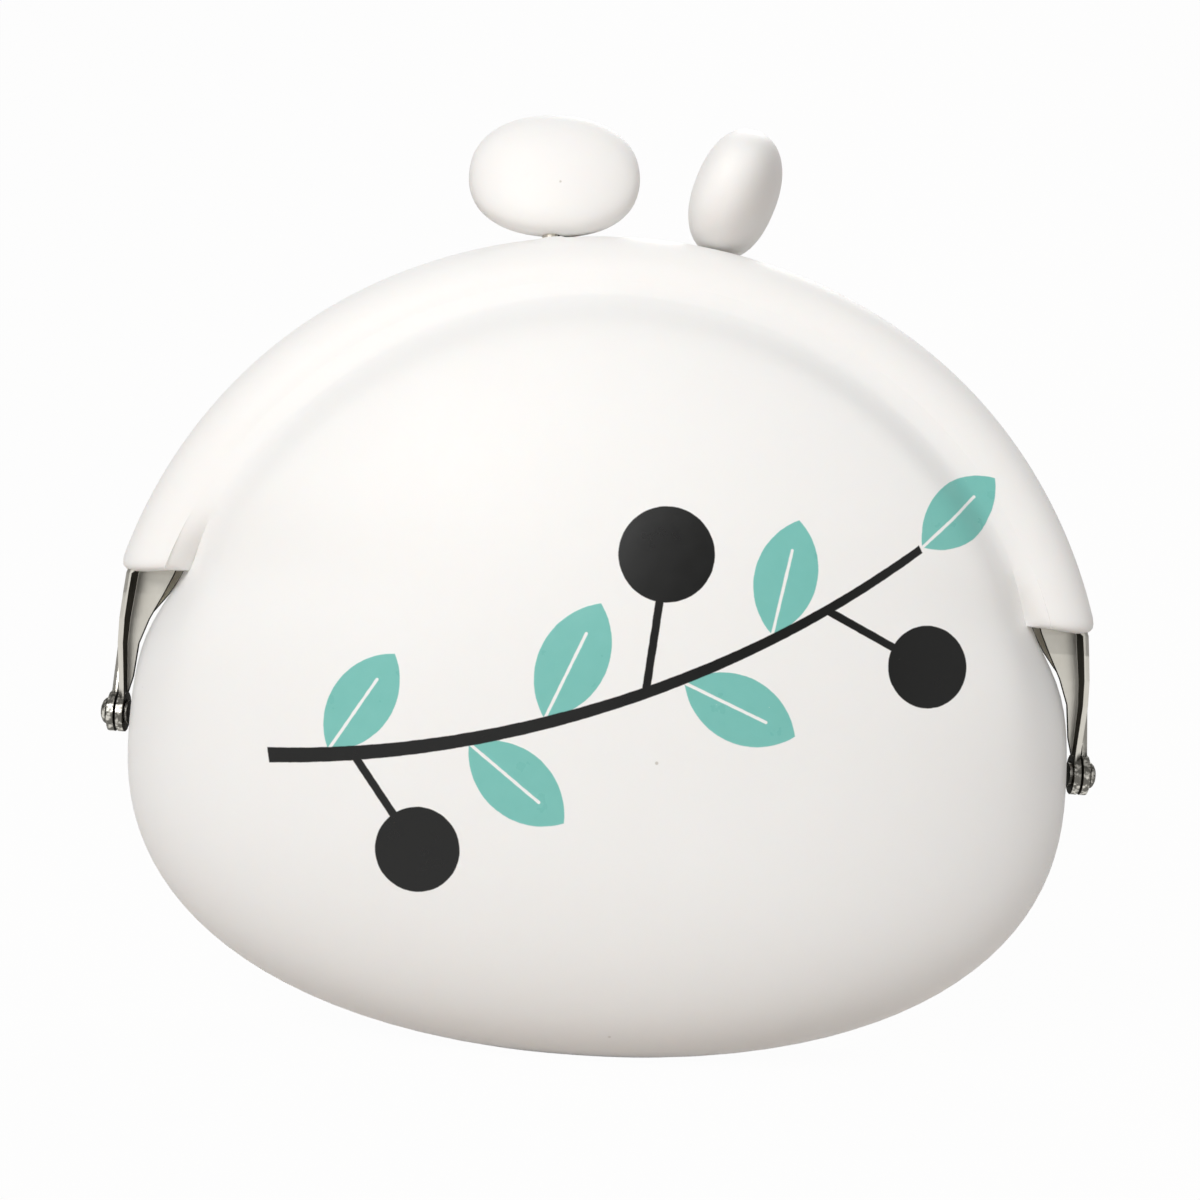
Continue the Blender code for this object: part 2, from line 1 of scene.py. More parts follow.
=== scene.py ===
# %% [markdown]
# # A silicone clasp pouch
#
# The pouch is one soft white moulding. Its thick rim is two sleeves, and a sprung steel frame
# runs in each of them. The frames are riveted together at both ends, and a flat silicone knob
# stands on each, so that the knobs snap past each other.
#
# The solids come packed, as a fixed frame. This file gives them their looks. The soft pieces are
# modelled again as continuous skins, because the solids divide the moulding where it flexes.

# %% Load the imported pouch
import json
import math

import bmesh
import bpy
from mathutils import Matrix, Vector


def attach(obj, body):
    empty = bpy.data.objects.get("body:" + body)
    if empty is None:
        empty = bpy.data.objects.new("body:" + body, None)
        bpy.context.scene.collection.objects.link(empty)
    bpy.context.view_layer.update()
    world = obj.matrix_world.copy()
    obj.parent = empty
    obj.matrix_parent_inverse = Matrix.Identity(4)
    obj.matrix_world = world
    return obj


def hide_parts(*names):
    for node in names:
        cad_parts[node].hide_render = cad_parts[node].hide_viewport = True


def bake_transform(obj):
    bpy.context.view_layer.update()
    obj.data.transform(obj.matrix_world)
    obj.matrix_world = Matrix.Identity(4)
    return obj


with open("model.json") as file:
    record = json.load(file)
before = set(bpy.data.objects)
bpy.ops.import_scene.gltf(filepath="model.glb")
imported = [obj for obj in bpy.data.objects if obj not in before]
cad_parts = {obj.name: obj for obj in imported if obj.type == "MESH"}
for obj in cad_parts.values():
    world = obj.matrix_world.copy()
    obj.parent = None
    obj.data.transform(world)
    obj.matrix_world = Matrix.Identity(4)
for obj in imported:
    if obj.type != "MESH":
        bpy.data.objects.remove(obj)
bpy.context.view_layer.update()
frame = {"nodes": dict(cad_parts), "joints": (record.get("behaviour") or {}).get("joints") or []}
hinge = Vector(frame["joints"][0]["pos_m"])
print("hinge line at", [round(value * 1000, 2) for value in hinge], "mm")

# %% [markdown]
# ## The measures of the moulding
#
# A moulded part is drawn from a few measures, and everything else follows from them. These are
# those of the solids, in metres. Heights count from the hinge line, because the rim is an arch
# about it. "Depth" is always the distance from the middle plane, where the two halves meet.

# %% Measures, in metres
MM = 0.001
RIM_RADIUS = 60 * MM
RIM_END_HEIGHT = 17.3 * MM      # beside the body
RIM_END_SLOPE = 0.13            # fall of the rim's ends, outwards
VALLEY_RADIUS = 52 * MM         # where the body meets the rim
WIDEST_HEIGHT = 33.4 * MM       # above the base
HINGE_RISE = 2.2 * MM           # the hinge line above the widest level
BODY_HALF_WIDTH = 55.9 * MM
BODY_HALF_DEPTH = 22 * MM
BASE_FLAT_DEPTH = 0.8 * MM
WALL = 2.4 * MM
SIDE_WALL = 1.1 * MM            # thinner at the sides, where the moulding folds
PARTING_GAP = 0.2 * MM
SLEEVE_THICKNESS = 8.6 * MM
VALLEY_STEP = 0.3 * MM
GUSSET_PINCH = 2.4 * MM
PINCH_HEIGHT = 18 * MM
PINCH_SPREAD = 6.5 * MM
SHOULDER_HEIGHT = 26 * MM
FACE_DEPTH = PARTING_GAP + SLEEVE_THICKNESS
VALLEY_DEPTH = FACE_DEPTH - VALLEY_STEP

OUTLINE_POWER = 2.29            # of the lower outline, seen from the front
SIDE_POWER = 2.8                # of the lower outline, seen from the side
PLAN_POWER = 2.1                # of the level sections
CHEEK_POWER = 2.4               # of the upper outline, seen from the side
CHEEK_FALL = 0.8
TOP_SHARE = 0.9985              # the level sections keep their size above this share
SLOPE_STEPS = 100               # a slope is measured over this part of a span
FRONT = -1
BACK = 1
print(f"rim {2000 * RIM_RADIUS:.0f} mm across, body {2000 * BODY_HALF_WIDTH:.1f} mm")

# %% [markdown]
# ## The form of the body
#
# The body is a stack of level sections, each a superellipse: a little squarer than an ellipse,
# as a soft moulding under its own weight is. Two functions give the half width and the half
# depth of the section at any height. A mesh could be pushed and pulled by hand instead, but a
# formula keeps the skin where the solids are and gives an even surface at any fineness.

# %% Functions for the level sections
def fall(share, power):
    """Height of a superellipse of unit size at this share of its half width."""
    return max(1 - min(share, 1) ** power, 0) ** (1 / power)


def half_depth(height):
    """Half depth of the body at a height above the hinge line."""
    rise = height + HINGE_RISE
    if rise < 0:
        return BODY_HALF_DEPTH * fall(-rise / (WIDEST_HEIGHT + BASE_FLAT_DEPTH), SIDE_POWER)
    share = min(rise / (VALLEY_RADIUS + HINGE_RISE), TOP_SHARE)
    bulge = (1 - share ** CHEEK_POWER) ** CHEEK_FALL
    return VALLEY_DEPTH + (BODY_HALF_DEPTH - VALLEY_DEPTH) * bulge


def half_width_at_rim(height):
    """Half width of the section that meets the rim's inner edge at the valley's depth."""
    level = min(height, TOP_SHARE * (VALLEY_RADIUS + HINGE_RISE) - HINGE_RISE)
    reach = math.sqrt(VALLEY_RADIUS ** 2 - level ** 2)
    return reach / fall(VALLEY_DEPTH / half_depth(level), PLAN_POWER)


def half_width(height):
    """Half width of the body at a height above the hinge line."""
    rise = height + HINGE_RISE
    if rise < 0:
        return BODY_HALF_WIDTH * fall(-rise / (WIDEST_HEIGHT + BASE_FLAT_DEPTH), OUTLINE_POWER)
    pinch = GUSSET_PINCH * math.exp(-((height - PINCH_HEIGHT) / PINCH_SPREAD) ** 2)
    if height >= SHOULDER_HEIGHT:
        return half_width_at_rim(height) - pinch
    span = SHOULDER_HEIGHT + HINGE_RISE
    step = span / SLOPE_STEPS
    width = half_width_at_rim(SHOULDER_HEIGHT)
    slope = (half_width_at_rim(SHOULDER_HEIGHT + step) - width) / step
    share = rise / span
    ease = share ** 2 * (3 - 2 * share)
    bend = (share ** 3 - share ** 2) * span * slope
    return BODY_HALF_WIDTH + (width - BODY_HALF_WIDTH) * ease + bend - pinch


def smooth_step(share):
    """0 below 0, 1 above 1, and an even turn between them."""
    share = min(max(share, 0), 1)
    return share * share * (3 - 2 * share)


for height in (-30, 0, 20, 40):
    print(f"section {height:4d} mm from the hinge line:",
          f"{2000 * half_width(height * MM):.1f} x {2000 * half_depth(height * MM):.1f} mm")

# %% [markdown]
# ## Where the body meets the rim
#
# On the real pouch the pillow of the body is full right up to the rim, falls into a soft valley
# with no line, and the valley sharpens towards the lower ends of the rim. A smooth maximum makes
# the valley: it follows the deeper of two surfaces and rounds the crossing. Past the valley the
# rounding dies away. Beside it a low shoulder is added, so that the light stays on the pillow.

# %% Depth of the outside and of the inside
VALLEY_ROUNDING = 3.0 * MM      # how wide the smooth maximum is
VALLEY_RUN = 3.0 * MM           # the rounding dies away this far up the rim
VALLEY_FADE = 9 * MM            # height over which the valley grows soft above the rim's ends
SHOULDER_RISE = 2.4 * MM        # fullness of the pillow beside the valley
SHOULDER_RUN = 4.2 * MM         # reached this far from the valley
SHOULDER_DECAY = 14 * MM        # lost over this distance from there
SHOULDER_FOOT = -12 * MM        # height where it starts
SHOULDER_FADE = 40 * MM         # height over which it grows
SHOULDER_SIDE = 8 * MM          # it ends over this distance from the side of the body


def smooth_max(one, other, rounding):
    """The larger of two, rounded where they cross."""
    near = max(rounding - abs(one - other), 0) / rounding
    return max(one, other) + near * near * rounding / 4


def section_depth(x, height, inside=False):
    """Depth at x and a height of the outside, or of the room inside."""
    wide = half_width(height) - SIDE_WALL * inside
    deep = half_depth(height) - WALL * inside
    return deep * fall(abs(x) / wide, PLAN_POWER)


def shoulder(x, height):
    """What the pillow is fuller by beside the valley and a little way below it."""
    within = max(VALLEY_RADIUS - math.hypot(x, height), 0)
    share = smooth_step(within / SHOULDER_RUN) * math.exp(-within / SHOULDER_DECAY)
    share *= smooth_step((height - SHOULDER_FOOT) / SHOULDER_FADE)
    beside_rim = smooth_step((height - RIM_END_HEIGHT) / SHOULDER_SIDE + 1)
    from_side = smooth_step((half_width(height) - abs(x)) / SHOULDER_SIDE)
    return SHOULDER_RISE * share * (from_side + (1 - from_side) * beside_rim)


def outer_depth(x, height):
    """Depth of the outside, with the shoulder and the soft valley beside the rim."""
    plain = section_depth(x, height)
    soft = smooth_max(plain, FACE_DEPTH, VALLEY_ROUNDING)
    fade = smooth_step((height - RIM_END_HEIGHT) / VALLEY_FADE)
    return plain + (soft - plain) * fade + shoulder(x, height)


print("valley at the top:", round(1000 * outer_depth(0, VALLEY_RADIUS), 2), "mm deep")

# %% [markdown]
# ## The grid of the upper half
#
# Above the ends of the rim the front is a disc with its bottom cut off. Rows of level chords
# would shrink to a point at the top, where the light shows every flaw. So the grid is a patch
# with four sides: the chord below, an arc on each side and the arc on top, filled in by Coons'
# rule. Every grid line then runs on over the rim, square to it.

# %% Points of the upper patch
COLUMNS = 52                    # across the patch
SIDE_ROWS = 20                  # evenly up each side arc, above the fine rows at its end
CORNER_ANGLE = math.radians(50)
END_ANGLE = math.asin(RIM_END_HEIGHT / VALLEY_RADIUS)
FINE_ROWS_MM = (0, 0.05, 0.17, 0.4, 0.8, 1.35, 2.0)   # heights that round the rim's lower end
SIDE_ARC = VALLEY_RADIUS * (CORNER_ANGLE - END_ANGLE)


def row_shares():
    """Shares up the side arc: fine at the rim's end, then even."""
    fine = [height * MM / SIDE_ARC for height in FINE_ROWS_MM]
    rest = [fine[-1] + (1 - fine[-1]) * (k + 1) / SIDE_ROWS for k in range(SIDE_ROWS)]
    return fine + rest


def column_share(u):
    """Place across the patch, from -1 to 1, a little closer together at its sides."""
    turn = math.pi / 2 - CORNER_ANGLE
    return math.sin((2 * u - 1) * turn) / math.sin(turn)


def on_arc(angle):
    """A point of the valley line."""
    return Vector((VALLEY_RADIUS * math.cos(angle), VALLEY_RADIUS * math.sin(angle)))


def patch_point(u, v):
    """Coons' rule: x and height at u across and v up."""
    chord_end = VALLEY_RADIUS * math.cos(END_ANGLE)
    below = Vector((chord_end * column_share(u), RIM_END_HEIGHT))
    above = on_arc(math.pi / 2 - (2 * u - 1) * (math.pi / 2 - CORNER_ANGLE))
    side = END_ANGLE + (CORNER_ANGLE - END_ANGLE) * v
    right = on_arc(side)
    left = on_arc(math.pi - side)
    corners = [on_arc(math.pi - END_ANGLE), on_arc(END_ANGLE),
               on_arc(math.pi - CORNER_ANGLE), on_arc(CORNER_ANGLE)]
    low = corners[0] * (1 - u) + corners[1] * u
    high = corners[2] * (1 - u) + corners[3] * u
    ruled = below * (1 - v) + above * v + left * (1 - u) + right * u
    return ruled - low * (1 - v) - high * v


rows_up = row_shares()
print("upper patch:", COLUMNS, "columns by", len(rows_up) - 1, "rows")

# %% [markdown]
# ## The section of the rim
#
# The rim is a thick band. Most of its face turns over into a wide round crown, which is why it
# looks darker than the pillow. At the parting plane, where the two halves touch, the rounding is
# small. Each section is a list of radius and depth, from the valley over the crown and down the
# parting face to the room inside. The lower ends are cut off, with a rounded outer corner.

# %% Points of the rim's section
CROWN_ROUNDING = 5.9 * MM
PARTING_ROUNDING = 2.6 * MM
END_ROUNDING = 2.0 * MM         # of the outer corner at the lower end
END_BREAK = 0.9 * MM            # of the edge round the lower end
CROWN_STEPS = 12
PARTING_STEPS = 6
FACE_MM = (0.4, 0.8, 1.2, 1.65, 2.1)   # face points, past the valley
BREAK_RUN = 1.4 * MM            # the broken edge starts this far from the valley
WALL_EDGE_OUTER = math.hypot(half_width(RIM_END_HEIGHT), RIM_END_HEIGHT)
WALL_EDGE_INNER = math.hypot(half_width(RIM_END_HEIGHT) - SIDE_WALL, RIM_END_HEIGHT)


def rounding_drop(along, radius):
    """How far a quarter round lies below its flat, this far along from its start."""
    left = 1 - min(along / radius, 1)
    return radius * (1 - math.sqrt(1 - left * left))


def rim_section(valley_depth, inner_depth, along):
    """Radius and depth of each point, this far along the rim from its nearer end."""
    broken = rounding_drop(along, END_BREAK)
    outer = RIM_RADIUS - rounding_drop(along, END_ROUNDING) - broken
    lift = valley_depth - FACE_DEPTH
    points = []
    for past in FACE_MM:
        left = max(1 - past * MM / VALLEY_RUN, 0)
        trim = broken * min(past * MM / BREAK_RUN, 1)
        points.append((VALLEY_RADIUS + past * MM, FACE_DEPTH + lift * left * left - trim))
    crown = min(CROWN_ROUNDING, outer - points[-1][0])
    centre = (outer - crown, FACE_DEPTH - broken - crown)
    for k in range(CROWN_STEPS + 1):
        turn = math.pi / 2 * (1 - k / CROWN_STEPS)
        points.append((centre[0] + crown * math.cos(turn), centre[1] + crown * math.sin(turn)))
    centre = (outer - PARTING_ROUNDING, PARTING_GAP + PARTING_ROUNDING)
    for k in range(PARTING_STEPS + 1):
        turn = -math.pi / 2 * k / PARTING_STEPS
        points.append((centre[0] + PARTING_ROUNDING * math.cos(turn),
                       centre[1] + PARTING_ROUNDING * math.sin(turn)))
    points += [(WALL_EDGE_OUTER, PARTING_GAP), (WALL_EDGE_INNER, PARTING_GAP),
               (VALLEY_RADIUS, PARTING_GAP), (VALLEY_RADIUS, (PARTING_GAP + inner_depth) / 2)]
    return points


EDGE_OUTER = len(FACE_MM) + CROWN_STEPS + 1 + PARTING_STEPS + 1
EDGE_INNER = EDGE_OUTER + 1
print("rim section:", len(rim_section(FACE_DEPTH, WALL, 1)), "points")

# %% [markdown]
# ## The arch of the rim
#
# The rim follows a circle about the hinge line, a little fuller at its shoulders. Each stud comes
# out through the crown, with a collar on the steel below. The silicone is raised a little over
# each collar, so that no steel shows there. A boolean could add that bump, but raising the points
# keeps the skin whole.

# %% Points of the arch
RIM_FULLNESS = 0.7 * MM         # the arch is this much fuller at its shoulders than a circle
COLLAR_X = {FRONT: -9.3 * MM, BACK: 10.8 * MM}
COLLAR_DEPTH = 3.9 * MM
COVER_RADIUS = 59.8 * MM        # from the hinge line to the silicone over a collar
COVER_REACH = 2.1 * MM          # it is level this far from the collar's middle
COVER_RUN = 1.2 * MM            # and falls over this distance
COVER_DROP = 2.5 * MM


def arch_point(radius, share):
    """A point of the arch: share 0 at its right end, 1 at its left end, at the same height."""
    end_height = RIM_END_HEIGHT - RIM_END_SLOPE * max(radius - WALL_EDGE_OUTER, 0)
    first = math.asin(end_height / radius)
    angle = first + share * (math.pi - 2 * first)
    across_rim = max(radius - VALLEY_RADIUS, 0) / (RIM_RADIUS - VALLEY_RADIUS)
    fuller = radius + RIM_FULLNESS * across_rim * math.sin(2 * angle) ** 2
    return fuller * math.cos(angle), fuller * math.sin(angle)


def cover_height(side, x, depth):
    """Height of the silicone over the collar of a stud; 0 away from it."""
    off = math.hypot(x - COLLAR_X[side], depth - COLLAR_DEPTH)
    if off > COVER_REACH + COVER_RUN:
        return 0
    level = math.sqrt(COVER_RADIUS ** 2 - x * x)
    return level - COVER_DROP * smooth_step((off - COVER_REACH) / COVER_RUN)


print("top of the arch:", round(1000 * arch_point(RIM_RADIUS, 0.5)[1], 2), "mm above the hinge line")

# %% [markdown]
# ## The rows of the lower half
#
# Below the ends of the rim the body is a stack of level rows, closer together towards the base,
# where it curves in. The middle columns are those of the upper patch, so that both parts share
# their points, and more columns run round the sides.

# %% Points of the lower half
LOWER_ROWS = 24
MIDDLE_ROWS = 12
SIDE_COLUMNS = 9
END_WIDTH = VALLEY_RADIUS * math.cos(END_ANGLE)


def level_row(level, inside, side):
    """Points of one level row, from its left edge round the front to its right edge."""
    wide = half_width(level)
    deep = half_depth(level)
    height = level
    if inside and level < -HINGE_RISE:
        wide *= 1 - SIDE_WALL / BODY_HALF_WIDTH
        deep *= 1 - WALL / BODY_HALF_DEPTH
        height = -HINGE_RISE + (level + HINGE_RISE) * (1 - WALL / WIDEST_HEIGHT)
    elif inside:
        wide -= SIDE_WALL
        deep -= WALL
    kept = END_WIDTH / (half_width(RIM_END_HEIGHT) - SIDE_WALL * inside)
    first = math.acos(kept ** (PLAN_POWER / 2))
    gap = PARTING_GAP * smooth_step((height + HINGE_RISE) / (RIM_END_HEIGHT + HINGE_RISE))
    flank = []
    for k in range(SIDE_COLUMNS):
        turn = first * k / SIDE_COLUMNS
        flank.append((wide * math.cos(turn) ** (2 / PLAN_POWER),
                      max(deep * math.sin(turn) ** (2 / PLAN_POWER), gap)))
    row = [(-x, depth) for x, depth in flank]
    for j in range(COLUMNS + 1):
        share = kept * column_share(j / COLUMNS)
        row.append((wide * share, deep * fall(abs(share), PLAN_POWER)))
    row += reversed(flank)
    if not inside:
        row = [(x, depth + shoulder(x, height)) for x, depth in row]
    return [Vector((x, side * depth, height)) for x, depth in row]


def lower_levels():
    """Heights of the rows from the base to the ends of the rim, that row left out."""
    full = WIDEST_HEIGHT + BASE_FLAT_DEPTH
    first = math.acos(WIDEST_HEIGHT / full)
    turns = [first + (math.pi / 2 - first) * k / LOWER_ROWS for k in range(LOWER_ROWS)]
    levels = [-HINGE_RISE - full * math.cos(turn) for turn in turns]
    span = RIM_END_HEIGHT + HINGE_RISE
    return levels + [-HINGE_RISE + span * k / MIDDLE_ROWS for k in range(MIDDLE_ROWS)]


print("lower half:", len(lower_levels()), "rows of", len(level_row(0, False, FRONT)), "points")

# %% [markdown]
# ## Sewing a half together
#
# One half is a closed skin with a real wall: an outside, an inside, the rim between them, and the
# cut faces at the middle plane. A Solidify modifier could give a wall, but not this rim. So each
# stretch is made as rows of points, and a sheet of faces joins row to row, as panels are sewn.

# %% Sheets of faces
def strip(bm, low, high):
    """Faces between two rows of points."""
    for k in range(len(low) - 1):
        bm.faces.new((low[k], low[k + 1], high[k + 1], high[k]))


def sheet(bm, rows):
    """Faces between each row and the next."""
    for low, high in zip(rows, rows[1:]):
        strip(bm, low, high)


# %% The upper half and its rim
def upper_patches(bm, side):
    """The outside and the inside above the ends of the rim."""
    outer_patch, inner_patch = [], []
    for v in rows_up:
        outer_row, inner_row = [], []
        for j in range(COLUMNS + 1):
            x, height = patch_point(j / COLUMNS, v)
            outer_row.append(bm.verts.new((x, side * outer_depth(x, height), height)))
            inside = max(section_depth(x, height, True), 2 * PARTING_GAP)
            inner_row.append(bm.verts.new((x, side * inside, height)))
        outer_patch.append(outer_row)
        inner_patch.append(inner_row)
    sheet(bm, outer_patch)
    sheet(bm, inner_patch)
    return outer_patch, inner_patch


def rim_stations(bm, side, outer_patch, inner_patch):
    """The rim's sections from its right end to its left end, one for each point of the border."""
    top = len(rows_up) - 1
    border = [(k, COLUMNS) for k in range(top + 1)]
    border += [(top, j) for j in range(COLUMNS - 1, -1, -1)]
    border += [(k, 0) for k in range(top - 1, -1, -1)]
    stations = []
    for row, column in border:
        outside, inside = outer_patch[row][column], inner_patch[row][column]
        angle = math.atan2(outside.co.z, outside.co.x)
        share = (angle - END_ANGLE) / (math.pi - 2 * END_ANGLE)
        along = min(share, 1 - share) * (math.pi - 2 * END_ANGLE) * VALLEY_RADIUS
        station = [outside]
        for radius, depth in rim_section(abs(outside.co.y), abs(inside.co.y), max(along, 0)):
            x, height = arch_point(radius, min(max(share, 0), 1))
            if radius > RIM_RADIUS - CROWN_ROUNDING:
                height = max(height, cover_height(side, x, depth))
            station.append(bm.verts.new((x, side * depth, height)))
        stations.append(station + [inside])
    sheet(bm, stations)
    return stations


# %% The lower half and the whole skin
def lower_rows(bm, side, patches, right, left):
    """The outside and the inside from the base up to the first row of each patch."""
    levels = lower_levels()
    outer_rows = [[bm.verts.new(point) for point in level_row(level, False, side)]
                  for level in levels]
    inner_rows = [[bm.verts.new(point) for point in level_row(level, True, side)]
                  for level in levels]
    for rows, patch, edge, inside in ((outer_rows, patches[0], EDGE_OUTER, False),
                                      (inner_rows, patches[1], EDGE_INNER, True)):
        points = level_row(RIM_END_HEIGHT, inside, side)
        flank = [bm.verts.new(point) for point in points[1:SIDE_COLUMNS]]
        other = [bm.verts.new(point) for point in points[-SIDE_COLUMNS:-1]]
        rows.append([left[edge + 1]] + flank + patch[0] + other + [right[edge + 1]])
        sheet(bm, rows)
    return outer_rows, inner_rows


def half_skin(side):
    """The closed skin of the front half, side -1, or of the back half, side 1."""
    bm = bmesh.new()
    patches = upper_patches(bm, side)
    stations = rim_stations(bm, side, *patches)
    right, left = stations[0], stations[-1]
    outer_rows, inner_rows = lower_rows(bm, side, patches, right, left)
    outer_end, inner_end = outer_rows[-1], inner_rows[-1]
    bm.faces.new(right[:EDGE_OUTER + 2] + outer_end[-2:-SIDE_COLUMNS - 1:-1])
    bm.faces.new(right[EDGE_INNER + 1:] + inner_end[-SIDE_COLUMNS:-1])
    bm.faces.new(left[:EDGE_OUTER + 2] + outer_end[1:SIDE_COLUMNS])
    bm.faces.new(left[EDGE_INNER + 1:] + inner_end[SIDE_COLUMNS - 1:0:-1])
    for end in (0, -1):
        strip(bm, [row[end] for row in outer_rows], [row[end] for row in inner_rows])
    bm.faces.new(outer_rows[0])
    bm.faces.new(inner_rows[0])
    bm.faces.new((outer_rows[0][0], outer_rows[0][-1], inner_rows[0][-1], inner_rows[0][0]))
    return bm


# %% [markdown]
# ## From a bmesh to a piece
#
# Every soft piece remembers where each of its points was moulded, in a point attribute. The
# materials read that instead of the place in the scene, so the print and the grain stay put on
# the silicone when a half swings out.

# %% Place a piece
SHARP_ANGLE = math.radians(38)
PLACE_NAME = "moulded_place"
silicone_pieces = []


def place_piece(name, bm, offset=hinge):
    """Make a smooth object of a bmesh that was built about the hinge line."""
    bmesh.ops.translate(bm, vec=offset, verts=bm.verts)
    bmesh.ops.recalc_face_normals(bm, faces=bm.faces)
    open_edges = sum(1 for edge in bm.edges if not edge.is_manifold)
    mesh = bpy.data.meshes.new(name)
    bm.to_mesh(mesh)
    bm.free()
    mesh.shade_smooth()
    mesh.set_sharp_from_angle(angle=SHARP_ANGLE)
    remembered = mesh.attributes.new(PLACE_NAME, "FLOAT_VECTOR", "POINT")
    remembered.data.foreach_set("vector", [value for point in mesh.vertices for value in point.co])
    piece = bpy.data.objects.new(name, mesh)
    bpy.context.scene.collection.objects.link(piece)
    print(f"{name}: {len(mesh.polygons)} faces, {open_edges} open edges")
    return piece


# %% [markdown]
# ## The two halves
#
# The moulding is one piece, so it doesn't swing on a line. Its belly stays, its rim turns with
# the frame, and the wall between them bends. Here each half is made as one closed skin in its
# closed place, and the solids that it stands in for are hidden.

halves = {}
for side, name in ((FRONT, "front"), (BACK, "back")):
    skin = place_piece(f"{name}_skin", half_skin(side))
    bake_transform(skin)
    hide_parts(f"{name}_cover", "pouch_bowl")
    halves[side] = skin
    silicone_pieces.append(skin)

# %% [markdown]
# ## The pleats at the sides
#
# Between the hinge and the lower end of the rim the two halves part when the pouch opens. The
# moulding is folded inwards there, in a pleat that spreads and keeps the coins in. Closed, it is
# hidden. Each half of a pleat is a closed thin sheet: its inner edge is the fold, and its outer
# edge meets the side of the body.

# %% Make the four halves of the pleats
PLEAT_FOLD = 43 * MM            # the fold, across from the middle
PLEAT_WALL = 0.8 * MM
PLEAT_GAP = 0.15 * MM           # from the middle plane to a closed pleat
PLEAT_FOOT = -1.0 * MM          # below the hinge line
PLEAT_TAPER = 3                 # the sheets part over one part in this many, next to the fold
FOLD_SHARE = 0.25               # share of the wall that is left in the fold
PLEAT_COLUMNS = 14
PLEAT_ROWS = 12


def pleat_sheet(side, hand):
    """A closed thin sheet from the fold to the side of the body."""
    bm = bmesh.new()
    faces = []
    for wall in (0, PLEAT_WALL):
        face = []
        for j in range(PLEAT_ROWS + 1):
            height = PLEAT_FOOT + (RIM_END_HEIGHT - PLEAT_FOOT) * j / PLEAT_ROWS
            reach = half_width(height) - SIDE_WALL / 2
            row = []
            for i in range(PLEAT_COLUMNS + 1):
                share = i / PLEAT_COLUMNS
                x = PLEAT_FOLD + (reach - PLEAT_FOLD) * share
                depth = (PLEAT_GAP + wall) * smooth_step(share * PLEAT_TAPER)
                depth += wall * FOLD_SHARE
                row.append(bm.verts.new((hand * x, side * depth, height)))
            face.append(row)
        sheet(bm, face)
        faces.append(face)
    near, far = faces
    for one, other in ((near[0], far[0]), (near[-1], far[-1])):
        strip(bm, one, other)
    for end in (0, -1):
        strip(bm, [row[end] for row in near], [row[end] for row in far])
    return bm


for side, name in ((FRONT, "front"), (BACK, "back")):
    for hand, edge in ((-1, "left"), (1, "right")):
        pleat = place_piece(f"{name}_{edge}_pleat", pleat_sheet(side, hand))
        rim_end = hinge + Vector((hand * (half_width(RIM_END_HEIGHT) - SIDE_WALL), 0, 0))
        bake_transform(pleat)
        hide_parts("pouch_bowl")
        silicone_pieces.append(pleat)

# %% [markdown]
# ## The knobs
#
# Each knob is a flattened pebble of silicone, pulled over a ball on the end of its stud. The
# mould left a fine line round its widest edge. Scaling a sphere would give an egg: two squarer
# profiles give the full, thumb-worn form. The front knob's foot bends forward, over its stud.

# %% Shape a pebble
KNOB_HALF_WIDTH = 10.2 * MM
KNOB_HALF_THICKNESS = 4.75 * MM
KNOB_FULLNESS = 2.2             # power of its outline; 2 is an ellipse
KNOB_SIDE_FULLNESS = 2.3        # power of its section
MOULD_LINE = 0.025 * MM         # how far the line stands out
MOULD_LINE_SHARPNESS = 30
KNOB_SEGMENTS = 72
KNOB_RINGS = 36


def pebble(half_height):
    """A full flattened ball with a fine mould line round its edge."""
    bm = bmesh.new()
    bmesh.ops.create_uvsphere(bm, u_segments=KNOB_SEGMENTS, v_segments=KNOB_RINGS, radius=1)
    bmesh.ops.rotate(bm, matrix=Matrix.Rotation(math.pi / 2, 3, "X"), verts=bm.verts)
    for point in bm.verts:
        x, y, z = point.co
        across = fall(abs(y), KNOB_SIDE_FULLNESS)
        size = (abs(x) ** KNOB_FULLNESS + abs(z) ** KNOB_FULLNESS) ** (1 / KNOB_FULLNESS)
        spread = across / size if size else 1
        ridge = MOULD_LINE * math.exp(-(y * MOULD_LINE_SHARPNESS) ** 2)
        point.co = (x * spread * (KNOB_HALF_WIDTH + ridge), y * KNOB_HALF_THICKNESS,
                    z * spread * (half_height + ridge))
    return bm


# %% Make both knobs
# Where the middle is, half its height, how far its foot bends forward, and three angles: leant
# back, tilted sideways, turned about its own axis
knobs = {
    "front": (Vector((-9.7, -0.4, 67.02)) * MM, 7.7 * MM, 2.4 * MM, 16, -2, 0),
    "back": (Vector((12.1, 1.0, 66.75)) * MM, 7.7 * MM, 0, -5, 19, 82),
}
for name, (knob_middle, half_height, bend, lean, tilt, turn) in knobs.items():
    attitude = (Matrix.Rotation(math.radians(tilt), 3, "Y")
                @ Matrix.Rotation(math.radians(-lean), 3, "X")
                @ Matrix.Rotation(math.radians(turn), 3, "Z"))
    shape = pebble(half_height)
    bmesh.ops.rotate(shape, matrix=attitude, verts=shape.verts)
    for point in shape.verts:
        below = max(-point.co.z / half_height, 0)
        point.co.y -= bend * below * below
    lowest = min(point.co.z for point in shape.verts) + knob_middle.z
    print(f"{name} knob: lowest point {1000 * lowest:.2f} mm above the hinge line")
    knob = place_piece(f"{name}_knob_pebble", shape, offset=hinge + knob_middle)
    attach(knob, f"{name}_half")
    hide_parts(f"{name}_knob")
    silicone_pieces.append(knob)

